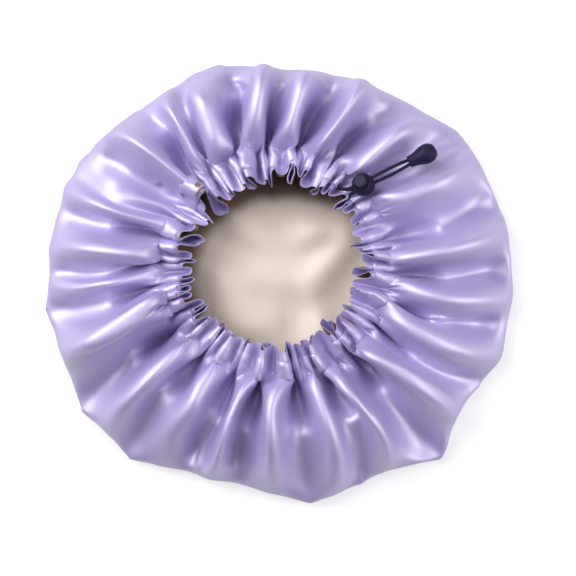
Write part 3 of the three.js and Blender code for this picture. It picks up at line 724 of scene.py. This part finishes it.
def room_for(side):
    """The layers' room outside (1) or inside (-1) the middle surface, but nowhere more than half the
    radius of a bend towards that side, so that tight folds don't cross."""
    room = np.repeat(spread[:, None], COLUMNS, 1)
    inwards = np.concatenate([middle[:1], middle[:-1]])
    outwards = np.concatenate([middle[1:], middle[-1:]])
    for before, after in ((np.roll(middle, 1, 1), np.roll(middle, -1, 1)), (inwards, outwards)):
        bend = side * ((before + after - 2 * middle) * outward).sum(-1)
        step = ((after - before)**2).sum(-1) / 4
        room = np.minimum(room, 0.5 * step / np.maximum(bend, 1e-9))
    for k in (1, 2):
        room = np.minimum(room, np.minimum(np.roll(room, k, 1), np.roll(room, -k, 1)))
    return blur_round(room, 2)[:, :, None]


room_out, room_in = room_for(1), room_for(-1)
# At the rim the shell rolls over the lining's edge by 0.4 mm and is topstitched there
ahead = unit(middle[-1] - middle[-2])
rolled = np.stack([middle[-1] + past * ahead + out * outward[-1]
                   for past, out in ((0.0003, 0.0001), (0.0003, -0.0002), (-0.0002, -0.0003))])
shell_points = np.concatenate([middle + room_out * outward, rolled])
shell_points[:, :, 2] = np.maximum(shell_points[:, :, 2], 0.0001)
shell = sheet_mesh("outer_shell_satin", shell_points[::-1], lavender, caps=(-1,),
                   uv=np.concatenate([flat_uv, flat_uv[-3:] * 1.003])[::-1])
stands_for(shell, "outer_shell", "cap")

# LINING
# Champagne satin, the same disc, sewn to the shell at the rim. Its crown lies loose in broad soft
# swells, because nothing fills the cap. It has finer rings than the shell's.
floor_reach = np.r_[np.linspace(0.012, 0.084, 11), 0.105, 0.125]
_, floor_radius, floor_height = profile(floor_reach)
lining_reach = np.r_[floor_reach, RINGS]
inside = np.concatenate([round_grid(floor_radius, floor_height + spread[0]),
                         (middle - room_in * outward)[len(crown_reach):]])
# Each swell: its centre, its direction, its length and width, and its height
swell = np.zeros(inside.shape[:2])
for east, north, turn_by, length, width, rise in (
        (0.031, 0.025, 0.3, 0.013, 0.009, 0.0062), (-0.038, -0.024, 1.9, 0.024, 0.012, 0.0078),
        (0.040, -0.001, 0.84, 0.022, 0.008, 0.0062), (-0.004, -0.011, -0.12, 0.026, 0.010, 0.0052),
        (0.036, -0.050, 1.75, 0.013, 0.008, 0.0056), (-0.024, 0.030, 2.3, 0.020, 0.010, 0.0052),
        (0.012, -0.034, 1.45, 0.013, 0.007, -0.0032), (-0.045, 0.044, 2.2, 0.018, 0.010, 0.0040),
        (-0.014, -0.046, 0.2, 0.016, 0.009, 0.0040), (0.055, 0.030, 1.4, 0.016, 0.008, 0.0042),
        (0.010, -0.072, 0.1, 0.026, 0.014, 0.0036), (-0.068, 0.004, 1.4, 0.024, 0.014, 0.0034)):
    east, north = inside[:, :, 0] - east, inside[:, :, 1] - north
    far = east * math.cos(turn_by) + north * math.sin(turn_by)
    side = north * math.cos(turn_by) - east * math.sin(turn_by)
    swell += rise * np.exp(-(far / length)**2 / 2 - (side / width)**2 / 2)
swell = np.maximum(swell, 0) * (1 - ease(lining_reach, 0.07, 0.12))[:, None]
inside[:, :, 2] += swell
# hidden under the folds it hangs a little lower than the shell
hang = 0.0018 * ease(lining_reach, 0.20, 0.23) * (1 - ease(lining_reach, 0.280, 0.293))
inside[:, :, 2] -= hang[:, None]
lining = sheet_mesh("lining_satin", inside, champagne, caps=(0,), uv=round_grid(lining_reach[:, None]))
stands_for(lining, "lining", "cap")

# CORD IN THE CASING
# The same elastic cord, hidden between the layers; it follows the gathers round the opening, and is
# squeezed where they are tight.
ring = middle[len(crown_reach) + cord_ring]
squeezed = np.minimum(room_out, room_in)[len(crown_reach) + cord_ring][:, None] - 0.0003
around, run_length = np.meshgrid(np.arange(8) / 8, np.linspace(0, 0.46, COLUMNS))
cord_skin = tube(ring, np.clip(squeezed, 0.0001, CORD_DIAMETER / 2), 8, unit(ring * LEVEL), closed=True)
inner_cord = sheet_mesh("drawcord_in_casing", cord_skin, elastic, closed=True,
                        uv=np.stack([run_length, around], -1))
stands_for(inner_cord, "drawcord_casing", "cap")


# THREADS
# Lavender polyester thread. A row of lockstitches closes the casing, a seam joins the layers at the
# rim, and a close whipped ring binds the buttonhole.
thread = Finish("polyester_thread", Roughness=0.5, Sheen_Weight=0.3)
twist_u, twist_v, _ = thread.parts(thread.place("UV"))
twist = ((twist_u * (2 * math.pi / 0.0006) + twist_v * (2 * math.pi)).sine() * 0.5 + 0.5)
thread.paint(Base_Color=thread.mix(twist, (0.30, 0.25, 0.55, 1), (0.44, 0.38, 0.70, 1)))
thread.bump(twist, 0.00005)


def resample(line, count):
    """The closed line at even steps of its length, and the length."""
    full = np.vstack([line, line[:1]])
    way = np.r_[0, np.cumsum(np.linalg.norm(np.diff(full, axis=0), axis=1))]
    even = np.linspace(0, way[-1], count, endpoint=False)
    return np.stack([np.interp(even, way, full[:, k]) for k in range(3)], -1), way[-1]


def stitches(name, node, line, normal, pitch, radius):
    """Stitches in a row: each dips into the cloth at its ends, from sin(pi t) along its pitch."""
    points, sides = 6, 5
    _, length = resample(line, 8)
    count = int(length / pitch)
    fine, _ = resample(line, count * points)
    lifts, _ = resample(normal, count * points)
    up = unit(lifts).reshape(count, points, 3)
    t = np.arange(points) / points + 0.5 / points
    row = fine.reshape(count, points, 3) + up * (radius * (1.6 * np.sin(np.pi * t) - 0.5))[None, :, None]
    ahead = unit(np.gradient(row, axis=1))
    side = unit(np.cross(ahead, up))
    high = np.cross(side, ahead)
    cos, sin = circle(sides)
    skin = row[:, :, None] + radius * (cos * side[:, :, None] + sin * high[:, :, None])
    r, c = np.meshgrid(np.arange(points - 1), np.arange(sides), indexing="ij")
    this, after = r * sides, (r + 1) * sides
    c2 = (c + 1) % sides
    quad = np.stack([this + c, this + c2, after + c2, after + c], -1).reshape(-1, 4)
    offsets = np.arange(count)[:, None, None] * points * sides
    quads = (quad[None] + offsets).reshape(-1, 4)[:, ::-1]
    ends = np.stack([np.arange(sides), (points - 1) * sides + np.arange(sides)[::-1]])
    ends = (ends[None] + offsets).reshape(-1, sides)
    mesh = bpy.data.meshes.new(name)
    mesh.from_pydata(skin.reshape(-1, 3).tolist(), [], [*quads.tolist(), *ends.tolist()])
    mesh.polygons.foreach_set("use_smooth", np.ones(len(mesh.polygons), bool))
    mesh.update()
    stands_for(as_object(name, mesh, thread), node, "cap")


def cloth_at(ring_share, column, out):
    """Points on the grid between rings and columns, moved outwards by out."""
    r0 = np.floor(ring_share).astype(int)
    c0 = np.floor(column).astype(int)
    fr, fc = (ring_share - r0)[:, None], (column - c0)[:, None]

    def read(grid):
        def row(i):
            return grid[i, c0 % COLUMNS] * (1 - fc) + grid[i, (c0 + 1) % COLUMNS] * fc

        return row(r0) * (1 - fr) + row(r0 + 1) * fr

    way = unit(read(outward))
    return read(middle) + way * out, way


ring_numbers = np.arange(len(reach))
columns = np.arange(COLUMNS, dtype=float)
seam_ring = float(np.interp(SEAM_REACH, reach, ring_numbers))
stitches("casing_topstitch", "casing_stitching", *cloth_at(np.full(COLUMNS, seam_ring), columns, 0.0004),
         pitch=0.0026, radius=0.00022)
rim_ring = len(reach) - 2.2
stitches("rim_seam", "rim_seam_thread", *cloth_at(np.full(COLUMNS, rim_ring), columns, 0.0),
         pitch=0.0022, radius=0.00015)
# The buttonhole's edge: an oval on the grid, round the place where the tails come out
HOLE_DEGREES, HOLE_REACH = 45.4, 0.2965
hole_turn = np.linspace(0, 2 * np.pi, 90, endpoint=False)
hole_ring = np.interp(HOLE_REACH, reach, ring_numbers) + 2.2 * np.sin(hole_turn)
hole_column = COLUMNS * HOLE_DEGREES / 360 + 9 * np.cos(hole_turn)
stitches("buttonhole_whipping", "buttonhole_stitching", *cloth_at(hole_ring, hole_column, 0.0018),
         pitch=0.0009, radius=0.00028)


# CORD LOCK
# A moulded round barrel, nearly a ball, with a slot through it for the cords, and a round push button
# that a spring lifts, so that its own slot pinches them. Near-black plastic with a fine matt texture.
def moulded(name, roughness):
    """Moulded plastic with a fine grain and a slightly uneven gloss."""
    finish = Finish(name, Specular_IOR_Level=0.16)
    place = finish.place()
    fine = finish.noise(place, 2600, 3, 0.6)
    broad = finish.noise(place, 90, 2)
    finish.paint(Base_Color=finish.mix(broad, (0.013, 0.009, 0.034, 1), (0.019, 0.013, 0.046, 1)),
                 Roughness=roughness + (broad - 0.5) * 0.12)
    finish.bump(fine, 0.00006)
    return finish


plastic = moulded("moulded_plastic", 0.5)
button_plastic = moulded("button_plastic", 0.45)
button_lean = np.array([-0.33, 0.2, 0.92])
button_way = unit(button_lean - (button_lean @ cord_way) * cord_way)
lock_side = np.cross(button_way, cord_way)
lock_axes = np.stack([cord_way, lock_side, button_way])


def rounded(outline, count):
    """An outline of [radius, height] points drawn as one smooth curve."""
    return smooth_path(np.column_stack([outline, np.zeros(len(outline))]), count)[:, :2]


def turned(name, outline, origin, axes, finish, sides=96, hollow=False):
    """An outline of [radius, height] turned round the third of the axes. Its ends lie on that axis, or
    it is a closed loop round it if hollow."""
    cos, sin = circle(sides)
    r, h = outline[:, :1], outline[:, 1:]
    local = np.stack([r * cos.T, r * sin.T, h + 0 * cos.T], -1)
    return sheet_mesh(name, origin + local @ axes, finish, closed=hollow, caps=() if hollow else (0, -1))


def slot_cutter(top):
    """A bar with rounded corners along the lock's cords, up to top, to cut the slot with."""
    a = np.linspace(0, 2 * np.pi, 49)[:-1]
    corner, half_reach = slot_half * 0.98, 0.02
    y = np.sign(np.cos(a)) * (slot_width - corner) + corner * np.cos(a)
    z = np.where(np.sin(a) > 0, top - corner, -slot_half + corner) + corner * np.sin(a)
    x = np.array([-half_reach, half_reach])
    local = np.stack([x[:, None] + 0 * a, y + 0 * x[:, None], z + 0 * x[:, None]], -1)
    return sheet_mesh("cutter", LOCK_PLACE + local @ lock_axes, plastic, caps=(0, -1))


def cut(piece, cutter):
    """Takes the cutter out of the piece, and removes the cutter."""
    change = piece.modifiers.new("slot", "BOOLEAN")
    change.operation, change.object, change.solver = "DIFFERENCE", cutter, "EXACT"
    done = bpy.data.meshes.new_from_object(piece.evaluated_get(bpy.context.evaluated_depsgraph_get()))
    piece.modifiers.clear()
    piece.data = done
    piece.data.polygons.foreach_set("use_smooth", np.ones(len(done.polygons), bool))
    piece.data.set_sharp_from_angle(angle=SHARP)
    bpy.data.objects.remove(cutter)


SHARP = math.radians(40)
GAP, CHAMFER, ON_AXIS = 0.0003, 0.0003, 0.0001
LOCK_RADIUS, LOCK_HALF, LOCK_BASE, LOCK_TOP = 0.0085, 0.010, 0.0092, 0.007
POCKET_RADIUS, LOCK_FLOOR = 0.0036, 0.001
PLUNGER_RADIUS, TRAVEL = 0.0052, 0.0033
slot_half = CORD_DIAMETER / 2 + GAP
slot_width = 0.0026 + slot_half
bore = PLUNGER_RADIUS + GAP
plunger_low = -slot_half - 0.0011
plunger_high = LOCK_TOP + TRAVEL + 0.0006
bore_low = plunger_low - TRAVEL - GAP
levels = np.linspace(-LOCK_BASE, LOCK_TOP - 0.0004, 40)
skin = np.column_stack([LOCK_RADIUS * np.sqrt(1 - (levels / LOCK_HALF)**2), levels])
barrel_outline = np.vstack([
    [[ON_AXIS, -LOCK_BASE], [skin[0, 0] - 2 * CHAMFER, -LOCK_BASE]], skin[1:],
    [[skin[-1, 0] - CHAMFER, LOCK_TOP - 0.0001], [skin[-1, 0] - 2 * CHAMFER, LOCK_TOP],
     [bore + CHAMFER, LOCK_TOP], [bore, LOCK_TOP - CHAMFER], [bore, bore_low], [POCKET_RADIUS, bore_low],
     [POCKET_RADIUS, -LOCK_BASE + LOCK_FLOOR], [ON_AXIS, -LOCK_BASE + LOCK_FLOOR]]])
barrel = turned("lock_barrel_moulded", barrel_outline, LOCK_PLACE, lock_axes, plastic)
cut(barrel, slot_cutter(top=slot_half))
stands_for(barrel, "lock_barrel", "cord_lock")

dome = np.linspace(0, math.pi / 2, 12)
dome_line = np.column_stack([PLUNGER_RADIUS - 0.0014 + 0.0014 * np.cos(dome),
                             plunger_high - 0.0012 + 0.0011 * np.sin(dome)])
plunger_outline = np.vstack([
    [[ON_AXIS, plunger_low], [PLUNGER_RADIUS - CHAMFER, plunger_low],
     [PLUNGER_RADIUS, plunger_low + CHAMFER]],
    dome_line, [[0.0026, plunger_high - 0.00005], [ON_AXIS, plunger_high]]])
plunger = turned("lock_button_moulded", plunger_outline, LOCK_PLACE, lock_axes, button_plastic)
cut(plunger, slot_cutter(top=slot_half + TRAVEL))
stands_for(plunger, "lock_plunger", "lock_button")

# The spring under the button: three turns of round steel wire
SPRING_RADIUS, WIRE_RADIUS, SPRING_TURNS = 0.003, 0.00025, 3
steel = Finish("spring_steel", Metallic=1.0)
streak = steel.noise(steel.place(), 3000, 2)
steel.paint(Base_Color=steel.mix(streak, (0.42, 0.43, 0.45, 1), (0.55, 0.56, 0.58, 1)),
            Roughness=streak * 0.2 + 0.22)
coil_turn = np.linspace(0, 2 * SPRING_TURNS * np.pi, 145)
spring_low = -LOCK_BASE + LOCK_FLOOR + GAP + WIRE_RADIUS
spring_high = plunger_low - GAP - WIRE_RADIUS
coil_out = np.column_stack([np.cos(coil_turn), np.sin(coil_turn), 0 * coil_turn])
coil = SPRING_RADIUS * coil_out
coil[:, 2] = spring_low + (spring_high - spring_low) * coil_turn / coil_turn[-1]
wire = tube(coil, WIRE_RADIUS, 10, coil_out)
spring = sheet_mesh("lock_spring_wire", LOCK_PLACE + wire @ lock_axes, steel, caps=(0, -1))
stands_for(spring, "lock_spring", "cord_lock")
# the spring's foot, and the share of its length left when the button's travel shortens it, are worked out
# here but not used
tuple(LOCK_PLACE + (spring_low - WIRE_RADIUS) * button_way)
1 - (TRAVEL + 0.0001) / (spring_high - spring_low + 2 * WIRE_RADIUS)
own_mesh(spring)

# CORD END
# A moulded bell over the knotted tails: slim at the mouth, round at the far end, where a snap lid shuts
# it. The knot inside is the same cord, pulled tight.
bell_up = -np.cross(beside, bell_way)
bell_axes = np.stack([beside, bell_up, bell_way])
LID_THICKNESS, MOUTH_RADIUS, MOUTH_BORE, CAVITY_RADIUS, THROAT = 0.001, 0.0044, 0.0034, 0.0046, 0.0086
body_length = BELL_LENGTH - LID_THICKNESS - GAP
# Along the bell as a share, and how far it has swelled there
swelling = np.array([[0, 0], [0.1, 0.04], [0.25, 0.22], [0.42, 0.6], [0.56, 0.9], [0.68, 1], [0.80, 0.95],
                     [0.91, 0.70], [1, 0.22]])
bell_side = rounded(np.column_stack([MOUTH_RADIUS + 0.003 * swelling[:, 1],
                                     swelling[:, 0] * body_length]), 60)
bell_outline = np.vstack([
    bell_side, [[0.0048, body_length], [CAVITY_RADIUS, body_length - 0.0002], [CAVITY_RADIUS, THROAT],
                [MOUTH_BORE, THROAT], [MOUTH_BORE, CHAMFER], [0.0037, 0], [0.0041, 0]]])
bell = turned("cord_end_bell_moulded", bell_outline, BELL_MOUTH, bell_axes, plastic, hollow=True)
bell.data.set_sharp_from_angle(angle=SHARP)
lid_seat = body_length + GAP
lid_outline = np.array([
    [ON_AXIS, body_length - 0.002], [0.0042, body_length - 0.002], [0.0043, body_length - 0.0018],
    [0.0043, lid_seat], [0.0047, lid_seat], [0.0048, lid_seat + 0.0001], [0.0046, lid_seat + 0.0003],
    [0.0041, lid_seat + 0.0005], [0.0032, lid_seat + 0.0008], [0.0018, BELL_LENGTH - 0.00006],
    [ON_AXIS, BELL_LENGTH]])
lid = turned("cord_end_lid_moulded", lid_outline, BELL_MOUTH, bell_axes, plastic)
lid.data.set_sharp_from_angle(angle=SHARP)
KNOT_RADIUS, KNOT_LENGTH, KNOT_PLACE = 0.0042, 0.0064, 0.0089
knot_shares = np.array([[0.02, 0], [0.7, 0], [0.93, 0.16], [1, 0.36], [0.9, 0.56], [0.98, 0.74],
                        [0.74, 0.93], [0.3, 1], [0.02, 1]])
knot_outline = rounded(np.column_stack([knot_shares[:, 0] * KNOT_RADIUS,
                                        KNOT_PLACE + knot_shares[:, 1] * KNOT_LENGTH]), 40)
knot = turned("cord_knot_tied", knot_outline, BELL_MOUTH, bell_axes, elastic, 48)
stands_for(bell, "cord_end_bell", "cap")
stands_for(lid, "cord_end_lid", "cap")
stands_for(knot, "cord_knot", "cap")

for name, mates in (("drawcord_tail_left", [knot, bell, lid, barrel, plunger, spring]),
                    ("drawcord_tail_right", [knot, bell, lid])):
    cord, line, length = cords[name]

# FLOOR AND LIGHT
# A plain pale table under one large soft light from the upper left, a weaker one opposite and a small
# one above. The camera sees the floor as white except where the cap's shadow falls.
floor_finish = Finish("pale_floor", Base_Color=(0.45, 0.45, 0.46, 1), Roughness=0.9, Specular_IOR_Level=0.1)
# Is Camera Ray and Is Glossy Ray
camera_ray, glossy_ray = (floor_finish.node("ShaderNodeLightPath", output=k) for k in (0, 3))
seen = 1 - (1 - camera_ray) * (1 - glossy_ray)
glow = floor_finish.node("ShaderNodeEmission", values={"Color": (1, 1, 1, 1), "Strength": 0.57})
lit = Socket(floor_finish, floor_finish.shader.outputs[0])
both = floor_finish.node("ShaderNodeAddShader", values=[lit, glow])
surface = floor_finish.node("ShaderNodeMixShader", values=[seen, lit, both])
floor_finish.put(floor_finish.tree.nodes["Material Output"].inputs["Surface"], surface)
floor_mesh = bpy.data.meshes.new("floor")
floor_mesh.from_pydata([(-3, -3, 0), (3, -3, 0), (3, 3, 0), (-3, 3, 0)], [], [(0, 1, 2, 3)])
as_object("floor", floor_mesh, floor_finish)


def lamp(name, place, size, power):
    """A square area light, turned to the middle of the cap."""
    light = bpy.data.lights.new(name, "AREA")
    light.shape, light.size, light.energy = "SQUARE", size, power
    lamp_object = bpy.data.objects.new(name, light)
    lamp_object.location = place
    way = Vector((0, 0, 0.03)) - Vector(place)
    lamp_object.rotation_euler = way.to_track_quat("-Z", "Y").to_euler()
    bpy.context.collection.objects.link(lamp_object)


lamp("key", (-1.2, 0.8, 1.4), size=1.6, power=50)
lamp("right", (1.5, -0.1, 1.15), size=1.5, power=26)
lamp("above", (-0.3, 0.5, 2.1), size=0.6, power=5)
world = bpy.data.worlds.new("world")
world.use_nodes = True
bpy.context.scene.world = world
sky = world.node_tree
background = sky.nodes["Background"]
background.inputs["Color"].default_value = (0.86, 0.88, 1, 1)
background.inputs["Strength"].default_value = 0.1
plain = sky.nodes.new("ShaderNodeBackground")
plain.inputs["Strength"].default_value = 1
ray = sky.nodes.new("ShaderNodeLightPath")
choice = sky.nodes.new("ShaderNodeMixShader")
sky.links.new(ray.outputs["Is Camera Ray"], choice.inputs[0])
sky.links.new(background.outputs[0], choice.inputs[1])
sky.links.new(plain.outputs[0], choice.inputs[2])
sky.links.new(choice.outputs[0], sky.nodes["World Output"].inputs["Surface"])
bpy.context.scene.view_settings.view_transform = "Standard"
